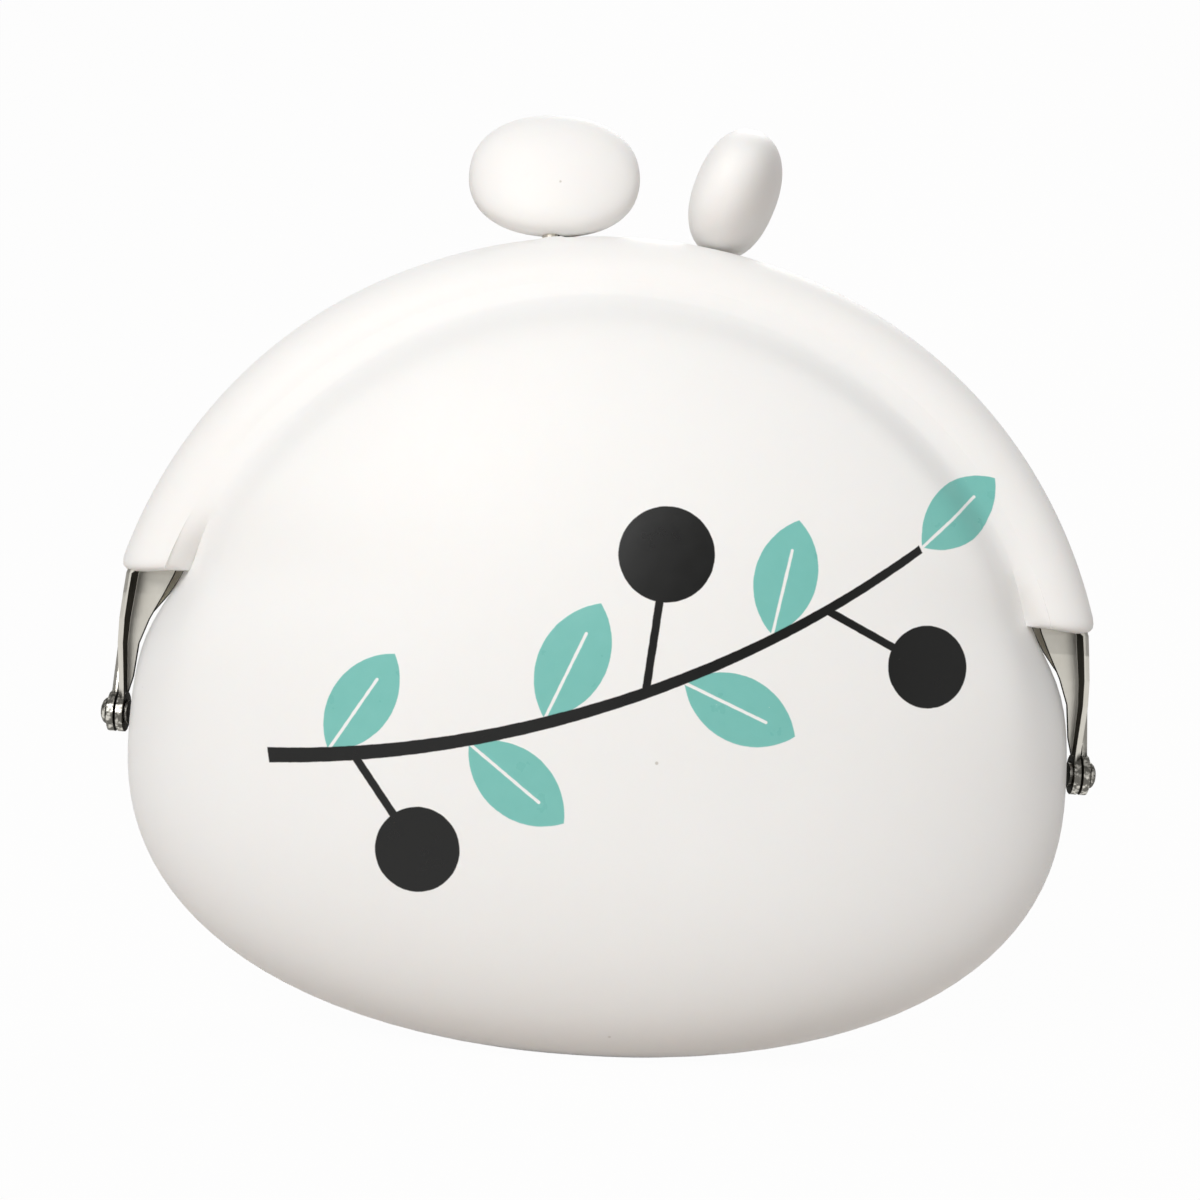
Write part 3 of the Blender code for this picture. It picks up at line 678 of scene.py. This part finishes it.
# %% [markdown]
# ## Shader maths as plain sums
#
# A material is a net of nodes. Written out one by one the net hides its meaning, so one small
# class wraps a socket and takes part in sums: adding, taking away and the rest each add a Math
# node. Every other node comes from a single method.

# %% The class that wraps a socket
class Signal:
    """A socket of a material, which can be used in sums with numbers and other signals."""

    def __init__(self, tree, socket):
        self.tree = tree
        self.socket = socket

    @classmethod
    def node(cls, tree, kind, settings=None, sockets=None, output=0):
        """Add a node: its settings first, then the values or links of its sockets."""
        made = tree.nodes.new(kind)
        for name, value in (settings or {}).items():
            setattr(made, name, value)
        for name, value in (sockets or {}).items():
            if isinstance(value, Signal):
                tree.links.new(value.socket, made.inputs[name])
            else:
                made.inputs[name].default_value = value
        return cls(tree, made.outputs[output] if made.outputs else None)

    def math(self, operation, *others):
        """A Math node with this signal first."""
        sockets = dict(enumerate((self, *others)))
        return self.node(self.tree, "ShaderNodeMath", {"operation": operation}, sockets)

    def after(self, operation, first):
        """A Math node with this signal second."""
        sockets = {0: first, 1: self}
        return self.node(self.tree, "ShaderNodeMath", {"operation": operation}, sockets)

    def __add__(self, other):
        return self.math("ADD", other)

    def __radd__(self, other):
        return self.after("ADD", other)

    def __sub__(self, other):
        return self.math("SUBTRACT", other)

    def __rsub__(self, other):
        return self.after("SUBTRACT", other)

    def __mul__(self, other):
        return self.math("MULTIPLY", other)

    def __rmul__(self, other):
        return self.after("MULTIPLY", other)

    def __truediv__(self, other):
        return self.math("DIVIDE", other)

    def __rtruediv__(self, other):
        return self.after("DIVIDE", other)

    def __neg__(self):
        return self.math("MULTIPLY", -1)

    def __abs__(self):
        return self.math("ABSOLUTE")

    def larger(self, other):
        return self.math("MAXIMUM", other)

    def smaller(self, other):
        return self.math("MINIMUM", other)

    def clamp(self):
        return self.larger(0).smaller(1)

    def root(self):
        return self.math("SQRT")

    def step(self, low, high):
        """0 below low, 1 above high, and an even turn between them."""
        sockets = {"Value": self, "From Min": low, "From Max": high}
        settings = {"interpolation_type": "SMOOTHSTEP"}
        return self.node(self.tree, "ShaderNodeMapRange", settings, sockets)


# %% Helpers for the materials
# Where a Mix node keeps its factor, its two colours and the mixed colour
MIX_FACTOR, MIX_ONE, MIX_OTHER, MIX_RESULT = 0, 6, 7, 2


def noise(tree, place, per_metre, detail=2, roughness=0.5, seed=0):
    """Soft random values from 0 to 1, this many to the metre."""
    shifted = Signal.node(tree, "ShaderNodeVectorMath", {"operation": "ADD"},
                          {0: place, 1: (seed, seed, seed)})
    sockets = {"Vector": shifted, "Scale": per_metre, "Detail": detail, "Roughness": roughness}
    return Signal.node(tree, "ShaderNodeTexNoise", {"noise_dimensions": "3D"}, sockets)


def split(tree, vector, axis):
    """One part of a vector."""
    return Signal.node(tree, "ShaderNodeSeparateXYZ", None, {"Vector": vector}, output=axis)


def mix_colour(tree, factor, one, other):
    """From one colour to another as the factor goes from 0 to 1."""
    sockets = {MIX_FACTOR: factor, MIX_ONE: one, MIX_OTHER: other}
    return Signal.node(tree, "ShaderNodeMix", {"data_type": "RGBA"}, sockets, output=MIX_RESULT)


def new_material(name):
    """A material, its node tree and its main shader."""
    made = bpy.data.materials.new(name)
    made.use_nodes = True
    return made, made.node_tree, made.node_tree.nodes["Principled BSDF"]


def feed(tree, shader, **sockets):
    """Set or link the shader's own sockets."""
    for name, value in sockets.items():
        socket = shader.inputs[name.replace("_", " ")]
        if isinstance(value, Signal):
            tree.links.new(value.socket, socket)
        else:
            socket.default_value = value


# %% [markdown]
# ## The print
#
# The pouch carries a two-colour pad print: turquoise and a glossy black. Here it is a plain sprig
# of leaves and berries. Each shape is a distance: how far a point of the front is outside it.
# A leaf is where two discs overlap, a berry is a disc, and the stem is a ring of which only a
# part is kept. An image would blur close up and would have to be stored. A distance is sharp at
# any size.

# %% The print's layout, in millimetres across and above the base
STEM_CENTRE = Vector((-44.7, 159.3))
STEM_RADIUS = 126.5
STEM_START, STEM_END = -86.5, -51.0     # degrees about its centre
STEM_WIDTH = 1.7
STEM_TAPER = 0.45               # share of the width that is lost towards the tip
STALK_WIDTH = 0.9
MIDRIB_WIDTH = 0.34
MIDRIB_SHARE = 0.78             # of the leaf's length
LEAF_FATNESS = 0.27             # half width of a leaf as a share of its length
LEAF_GAP = 0.6                  # from the middle of the stem to a leaf

# Share along the stem, angle from the stem's own direction, then a leaf's length
LEAVES = (
    (0.09, 52, 13.0), (0.29, -50, 13.5), (0.40, 50, 14.0), (0.60, -47, 13.5),
    (0.74, 50, 13.0), (0.99, 6, 12.5),
)
# Share along the stem, angle, length of the stalk, radius of the berry
BERRIES = ((0.13, -60, 8.0, 4.7), (0.55, 62, 10.0, 5.3), (0.83, -58, 8.5, 4.6))


def stem_point(share):
    """A point of the main stem."""
    turn = math.radians(STEM_START + (STEM_END - STEM_START) * share)
    return STEM_CENTRE + STEM_RADIUS * Vector((math.cos(turn), math.sin(turn)))


def stem_way(share, angle):
    """Direction at an angle from the stem."""
    turn = math.radians(STEM_START + (STEM_END - STEM_START) * share + 90 + angle)
    return Vector((math.cos(turn), math.sin(turn)))


print("print:", len(LEAVES), "leaves and", len(BERRIES), "berries")

# %% Distances for the shapes of the print, in millimetres
def disc_distance(x, z, centre, radius):
    """Outside a disc."""
    across, up = x - centre[0], z - centre[1]
    return (across * across + up * up).root() - radius


def leaf_distance(x, z, foot, way, length):
    """Outside a leaf that grows from its foot."""
    square = Vector((-way.y, way.x))
    middle = foot + way * (length / 2)
    half_wide = length * LEAF_FATNESS
    radius = (length ** 2 / 4 + half_wide ** 2) / (2 * half_wide)
    shift = square * (radius - half_wide)
    one = disc_distance(x, z, middle + shift, radius)
    other = disc_distance(x, z, middle - shift, radius)
    return one.larger(other)


def line_distance(x, z, start, end, width):
    """Outside a straight line with round ends."""
    run = end - start
    across, up = x - start.x, z - start.y
    along = ((across * run.x + up * run.y) / run.length_squared).clamp()
    off_x, off_z = across - along * run.x, up - along * run.y
    return (off_x * off_x + off_z * off_z).root() - width / 2


def stem_distance(x, z):
    """Outside the main stem, an arc that grows thinner towards its tip."""
    across, up = x - STEM_CENTRE.x, z - STEM_CENTRE.y
    off = abs((across * across + up * up).root() - STEM_RADIUS)
    along = ((x - stem_point(0).x) / (stem_point(1).x - stem_point(0).x)).clamp()
    beyond = disc_distance(x, z, stem_point(0.5), (stem_point(1) - stem_point(0)).length / 2)
    return (off - STEM_WIDTH / 2 * (1 - STEM_TAPER * along)).larger(beyond)


# %% Where each ink lies
INK_EDGE = 0.07                 # mm over which an edge fades
RAGGEDNESS = 0.12               # mm by which an edge wanders
PRINT_DEPTH = 5                 # mm in front of the middle plane; no ink behind that


def print_masks(tree, place):
    """Where the turquoise and the black ink lie, from 0 to 1."""
    x = split(tree, place, "X") * 1000
    y = split(tree, place, "Y") * 1000
    z = split(tree, place, "Z") * 1000
    ragged = (noise(tree, place, 900, detail=3, roughness=0.6, seed=3) - 0.5) * RAGGEDNESS
    turquoise, black = [], [stem_distance(x, z)]
    for share, angle, length in LEAVES:
        foot, way = stem_point(share), stem_way(share, angle)
        rib = line_distance(x, z, foot, foot + way * length * MIDRIB_SHARE, MIDRIB_WIDTH)
        leaf = leaf_distance(x, z, foot + way * LEAF_GAP, way, length)
        turquoise.append(leaf.larger(-rib))
    for share, angle, stalk, radius in BERRIES:
        foot, way = stem_point(share), stem_way(share, angle)
        black.append(line_distance(x, z, foot, foot + way * stalk, STALK_WIDTH))
        black.append(disc_distance(x, z, foot + way * (stalk + radius), radius))
    in_front = (y + PRINT_DEPTH).step(0, -1)
    masks = []
    for shapes in (turquoise, black):
        nearest = shapes[0]
        for shape in shapes[1:]:
            nearest = nearest.smaller(shape)
        masks.append((nearest + ragged).step(INK_EDGE, -INK_EDGE) * in_front)
    return masks


# %% [markdown]
# ## White silicone
#
# Moulded silicone is satin, not glossy, with a fine even grain from the blasted mould. Light goes
# a little way into it, and it catches dust. The colour is almost even, so the grain, a slow change
# of tone, a few specks and the soft sheen have to carry it. The ink lies on top, a few hundredths
# of a millimetre thick and much glossier, and is worn through in places.

# %% Colours and scales of the silicone and the inks
SILICONE_DIM = (0.885, 0.872, 0.852, 1)
SILICONE_BRIGHT = (0.915, 0.908, 0.896, 1)
DUST = (0.36, 0.31, 0.25, 1)
TURQUOISE = (0.187, 0.523, 0.471, 1)
THIN_TURQUOISE = (0.215, 0.562, 0.508, 1)
BLACK_INK = (0.004, 0.004, 0.0035, 1)
SATIN = 0.43                    # least roughness of the silicone
INK_GLOSS = 0.24                # least roughness of the ink
TONE_PER_METRE = 35             # how fine each pattern is
CLOUD_PER_METRE = 420
GRAIN_PER_METRE = 5200
SPECKS_PER_METRE = 105
PINHOLES_PER_METRE = 2600
SILICONE_BUMP = 0.03 * MM
print(f"grain of the mould: {1 / GRAIN_PER_METRE / MM:.2f} mm")


# %% Make the silicone
def white_silicone(name, printed):
    """Satin white silicone, with the print or bare."""
    made, tree, shader = new_material(name)
    place = Signal.node(tree, "ShaderNodeAttribute", {"attribute_name": PLACE_NAME},
                        output="Vector")
    tone = noise(tree, place, TONE_PER_METRE, detail=3, roughness=0.55, seed=1)
    grain = noise(tree, place, GRAIN_PER_METRE, detail=2, roughness=0.6, seed=7)
    cloud = noise(tree, place, CLOUD_PER_METRE, detail=3, roughness=0.5, seed=5)
    colour = mix_colour(tree, tone, SILICONE_DIM, SILICONE_BRIGHT)

    cells = Signal.node(tree, "ShaderNodeTexVoronoi", {"feature": "F1"},
                        {"Vector": place, "Scale": SPECKS_PER_METRE, "Randomness": 1})
    chosen = noise(tree, place, 60, detail=2, roughness=0.5, seed=11).step(0.56, 0.62)
    specks = cells.step(0.026, 0.014) * chosen
    colour = mix_colour(tree, specks * 0.5, colour, DUST)

    rough = SATIN + cloud * 0.09 + grain * 0.05
    height = grain * 0.35 + cloud * 0.25 + specks * 1.2
    if printed:
        turquoise, black = print_masks(tree, place)
        holes = noise(tree, place, PINHOLES_PER_METRE, detail=2, roughness=0.7, seed=17)
        rubbed = noise(tree, place, 55, detail=3, roughness=0.6, seed=19).step(0.52, 0.66)
        left = 1 - holes.step(0.74, 0.80) * rubbed
        shade = mix_colour(tree, cloud, TURQUOISE, THIN_TURQUOISE)
        colour = mix_colour(tree, turquoise * left, colour, shade)
        colour = mix_colour(tree, black * left, colour, BLACK_INK)
        ink = turquoise.larger(black) * left
        gloss = INK_GLOSS + cloud * 0.10
        rough = rough * (1 - ink) + gloss * ink
        height = height * (1 - ink * 0.7) + ink * 1.6
    bump = Signal.node(tree, "ShaderNodeBump", None,
                       {"Strength": 0.35, "Distance": SILICONE_BUMP, "Height": height})
    feed(tree, shader, Base_Color=colour, Roughness=rough, Normal=bump, IOR=1.41,
         Subsurface_Weight=0.18, Subsurface_Scale=0.004, Subsurface_Radius=(1.0, 0.72, 0.55))
    return made


# %% Dress the silicone pieces
# Only the outside of the front is printed. A face is outside if it looks forward and lies in
# front of the middle of the wall.
front_silicone = white_silicone("white_silicone_printed", True)
bare_silicone = white_silicone("white_silicone_bare", False)
for piece in silicone_pieces:
    piece.data.materials.append(bare_silicone)
printed_mesh = halves[FRONT].data
printed_mesh.materials.append(front_silicone)
for face in printed_mesh.polygons:
    middle_of_wall = section_depth(face.center.x, face.center.z - hinge.z) - WALL / 2
    on_outside = face.normal.y < 0 and -face.center.y > middle_of_wall
    face.material_index = int(on_outside)
print("printed silicone:", len(front_silicone.node_tree.nodes), "nodes")

# %% [markdown]
# ## Nickel-plated steel
#
# The frames, studs and rivets are pressed from thin strip and nickel plated. Nickel is a warm
# grey and reflects its surroundings softly. Fine draw lines run round each frame, and the plating
# is duller in random patches. The edges catch light because no pressed edge is quite sharp.
# Inside the fold of the strip and round the rivets, shade is painted on as a near-black, matt
# film: painted shade where the arms hide each other, and a painted dark reflection round the
# rivets. It is the dark stripe down each arm. The fold is found by where a face looks, towards the
# middle of the pouch, and the rivets by how near a point is to the hinge line. The painted shade
# doesn't shine like metal, so it is a second shader, mixed in where it lies.

# %% Colours and scales of the nickel and the painted shade
NICKEL_DIM = (0.56, 0.53, 0.46, 1)
NICKEL_BRIGHT = (0.74, 0.72, 0.66, 1)
TARNISH = (0.20, 0.18, 0.14, 1)
# Painted shade: colour of the near-black matt film in the fold and round the rivets
PAINTED_SHADE = (0.008, 0.007, 0.004, 1)
DRAW_LINES = (9000, 9000, 260)  # to the metre: fine across the strip, long up it
NICKEL_BUMP = 0.02 * MM
EDGE_ROUNDING = 0.12 * MM
# The painted shade round the rivets fades in between these distances
PIN_SHADE_START, PIN_SHADE_END = 3.6, 2.2     # mm from the rivet's middle
print(f"draw lines of the nickel: {1 / DRAW_LINES[0] / MM:.2f} mm apart")


# %% Make the nickel
def nickel():
    """Nickel plating over pressed steel, with painted shade in the fold and round the rivets."""
    made, tree, shader = new_material("nickel_plating")
    place = Signal.node(tree, "ShaderNodeTexCoord", output="Object")
    dull = noise(tree, place, 260, detail=4, roughness=0.6, seed=2)
    stretched = Signal.node(tree, "ShaderNodeMapping", None,
                            {"Vector": place, "Scale": DRAW_LINES})
    lines = Signal.node(tree, "ShaderNodeTexNoise", None,
                        {"Vector": stretched, "Scale": 1, "Detail": 2})
    colour = mix_colour(tree, dull, NICKEL_DIM, NICKEL_BRIGHT)
    colour = mix_colour(tree, dull.step(0.60, 0.78) * 0.35, colour, TARNISH)
    rough = 0.20 + dull * 0.16 + lines * 0.08
    edge = Signal.node(tree, "ShaderNodeBevel", {"samples": 4}, {"Radius": EDGE_ROUNDING})
    bump = Signal.node(tree, "ShaderNodeBump", None,
                       {"Strength": 0.25, "Distance": NICKEL_BUMP, "Height": lines + dull,
                        "Normal": edge})
    feed(tree, shader, Base_Color=colour, Roughness=rough, Metallic=1.0, Normal=bump)

    # Painted shade: a near-black matt film on faces inside the fold, where the arms shade each
    # other, and a painted dark reflection near the rivets
    facing = Signal.node(tree, "ShaderNodeNewGeometry", output="True Normal")
    inward = -(split(tree, facing, "X") * split(tree, place, "X").math("SIGN"))
    fold = inward.step(0.42, 0.62)
    up = (split(tree, place, "Z") - hinge.z) * 1000
    deep = split(tree, place, "Y") * 1000
    from_pin = (up * up + deep * deep).root()
    patches = noise(tree, place, 1500, detail=3, roughness=0.6, seed=23).step(0.36, 0.54)
    pin_shade = from_pin.step(PIN_SHADE_START, PIN_SHADE_END) * patches * 0.85
    shade_film = Signal.node(tree, "ShaderNodeBsdfPrincipled", None,
                       {"Base Color": PAINTED_SHADE, "Roughness": 0.8, "IOR": 1.08})
    painted_shade_share = fold.larger(pin_shade) * (0.93 + dull * 0.07)
    both = Signal.node(tree, "ShaderNodeMixShader", None,
                       {0: painted_shade_share, 1: Signal(tree, shader.outputs[0]), 2: shade_film})
    tree.links.new(both.socket, tree.nodes["Material Output"].inputs["Surface"])
    return made


plating = nickel()
for name in ("front_frame", "back_frame", "front_stud", "back_stud", "left_rivet", "right_rivet"):
    node = frame["nodes"][name]
    for held in node.material_slots:
        held.material = plating
print("plated:", plating.name)

# %% [markdown]
# ## Floor and backdrop
#
# The pouch stands on a white sweep: a floor that curves up into the wall, so that no horizon
# shows. The camera, and the steel that reflects it, see almost plain white there, with a trace of
# the pouch's shadow. The light that the paper throws back at the pouch comes from its true colour,
# a warm pale grey. More light could make it white instead, but the pouch would lose its shading.

# %% Build the sweep, in metres
SWEEP_HALF_WIDTH = 1.6
SWEEP_FRONT = -1.2
SWEEP_BACK = 0.7
SWEEP_BEND = 0.45
SWEEP_TOP = 1.6
BEND_STEPS = 16

sweep_mesh = bmesh.new()
profile = [(SWEEP_FRONT, 0)]
for k in range(BEND_STEPS + 1):
    turn = math.pi / 2 * k / BEND_STEPS
    profile.append((SWEEP_BACK + SWEEP_BEND * math.sin(turn), SWEEP_BEND * (1 - math.cos(turn))))
profile.append((SWEEP_BACK + SWEEP_BEND, SWEEP_TOP))
edges = [[sweep_mesh.verts.new((x, y, z)) for y, z in profile]
         for x in (-SWEEP_HALF_WIDTH, SWEEP_HALF_WIDTH)]
strip(sweep_mesh, edges[0], edges[1])
held_mesh = bpy.data.meshes.new("white_sweep")
sweep_mesh.to_mesh(held_mesh)
sweep_mesh.free()
held_mesh.shade_smooth()
sweep = bpy.data.objects.new("white_sweep", held_mesh)
bpy.context.scene.collection.objects.link(sweep)
print("sweep:", len(held_mesh.polygons), "faces")

# %% Paper for the sweep
SEEN_WHITE = 0.97               # share of plain white that the camera sees on the sweep
PAPER_DIM = (0.63, 0.58, 0.54, 1)
PAPER_PALE = (0.69, 0.64, 0.60, 1)
FIBRES_PER_METRE = 300

paper = bpy.data.materials.new("white_paper")
paper.use_nodes = True
tree = paper.node_tree
tree.nodes.clear()
to_camera = Signal.node(tree, "ShaderNodeLightPath", output="Is Camera Ray")
to_gloss = Signal.node(tree, "ShaderNodeLightPath", output="Is Glossy Ray")
seen = to_camera.larger(to_gloss)
spot = Signal.node(tree, "ShaderNodeTexCoord", output="Object")
fibres = noise(tree, spot, FIBRES_PER_METRE, detail=4)
paper_colour = mix_colour(tree, fibres, PAPER_DIM, PAPER_PALE)
matt = Signal.node(tree, "ShaderNodeBsdfDiffuse", None, {"Color": paper_colour})
glow = Signal.node(tree, "ShaderNodeEmission", None, {"Color": (1, 1, 1, 1), "Strength": 1.0})
both = Signal.node(tree, "ShaderNodeMixShader", None, {0: seen * SEEN_WHITE, 1: matt, 2: glow})
Signal.node(tree, "ShaderNodeOutputMaterial", None, {"Surface": both})
held_mesh.materials.append(paper)
print("paper:", len(tree.nodes), "nodes")

# %% [markdown]
# ## The light
#
# The light is that of a studio: a large window high on the left, a weak one on the right, and a
# third that lights the back. They are square lamps, large enough for soft shadows, and the camera
# doesn't see them. The pale room around fills the shadows, and stays dim enough that the white
# silicone doesn't clip.

# %% Hang the lights
middle = Vector((0, 0, 0.055))


def window(name, place, size, power):
    """A square area light that faces the pouch."""
    light = bpy.data.lights.new(name, "AREA")
    light.shape = "SQUARE"
    light.size = size
    light.energy = power
    lamp = bpy.data.objects.new(name, light)
    lamp.location = place
    lamp.rotation_euler = (middle - Vector(place)).to_track_quat("-Z", "Y").to_euler()
    lamp.visible_camera = False
    bpy.context.scene.collection.objects.link(lamp)
    print(f"{name}: {power} W")


# Place and size are in metres, power in watts
window("key_window", place=(-0.31, -0.88, 0.56), size=0.55, power=7.7)
window("side_window", place=(0.75, -0.60, 0.35), size=0.60, power=0.45)
window("back_window", place=(0.20, 0.85, 0.95), size=0.60, power=4.5)

# %% Paint the room
ROOM_LEVEL = 0.32               # light of the room on the pouch; the camera sees white

world = bpy.data.worlds.new("pale_room")
world.use_nodes = True
bpy.context.scene.world = world
tree = world.node_tree
tree.nodes.clear()
to_camera = Signal.node(tree, "ShaderNodeLightPath", output="Is Camera Ray")
strength = ROOM_LEVEL + to_camera * (1 - ROOM_LEVEL)
sky = Signal.node(tree, "ShaderNodeBackground", None,
                  {"Color": (1, 1, 1, 1), "Strength": strength})
Signal.node(tree, "ShaderNodeOutputWorld", None, {"Surface": sky})
print("room level:", ROOM_LEVEL)

# %% [markdown]
# ## The camera
#
# The photograph looks straight at the front, from close by, and the pouch hangs a few degrees
# to the right. The camera stands level and is rolled instead, so the pouch still stands square
# on its base.

# %% Set the camera
SEEN_WIDTH = 140.65 * MM        # width of the picture at the plane of the pouch
DISTANCE = 234 * MM
AIM_HEIGHT = 52.2 * MM
AIM_DEPTH = -5 * MM
ROLL = math.radians(3.8)
SENSOR = 36                     # mm
CLIP_START = 10 * MM
FRAME_PIXELS = 1200
AIM_PIXEL = (607.5, 604.5)      # where the picture shows the point that the camera aims at

camera_data = bpy.data.cameras.new("camera")
camera_data.sensor_width = SENSOR
camera_data.lens = SENSOR * DISTANCE / SEEN_WIDTH
camera_data.clip_start = CLIP_START
camera_data.shift_x = (FRAME_PIXELS / 2 - AIM_PIXEL[0]) / FRAME_PIXELS
camera_data.shift_y = (AIM_PIXEL[1] - FRAME_PIXELS / 2) / FRAME_PIXELS
camera = bpy.data.objects.new("camera", camera_data)
camera.matrix_world = (Matrix.Translation((0, AIM_DEPTH - DISTANCE, AIM_HEIGHT))
                       @ Matrix.Rotation(math.pi / 2, 4, "X") @ Matrix.Rotation(ROLL, 4, "Z"))
bpy.context.scene.collection.objects.link(camera)
bpy.context.scene.camera = camera
bpy.context.scene.view_settings.view_transform = "Standard"
print("lens:", round(camera_data.lens, 1), "mm")
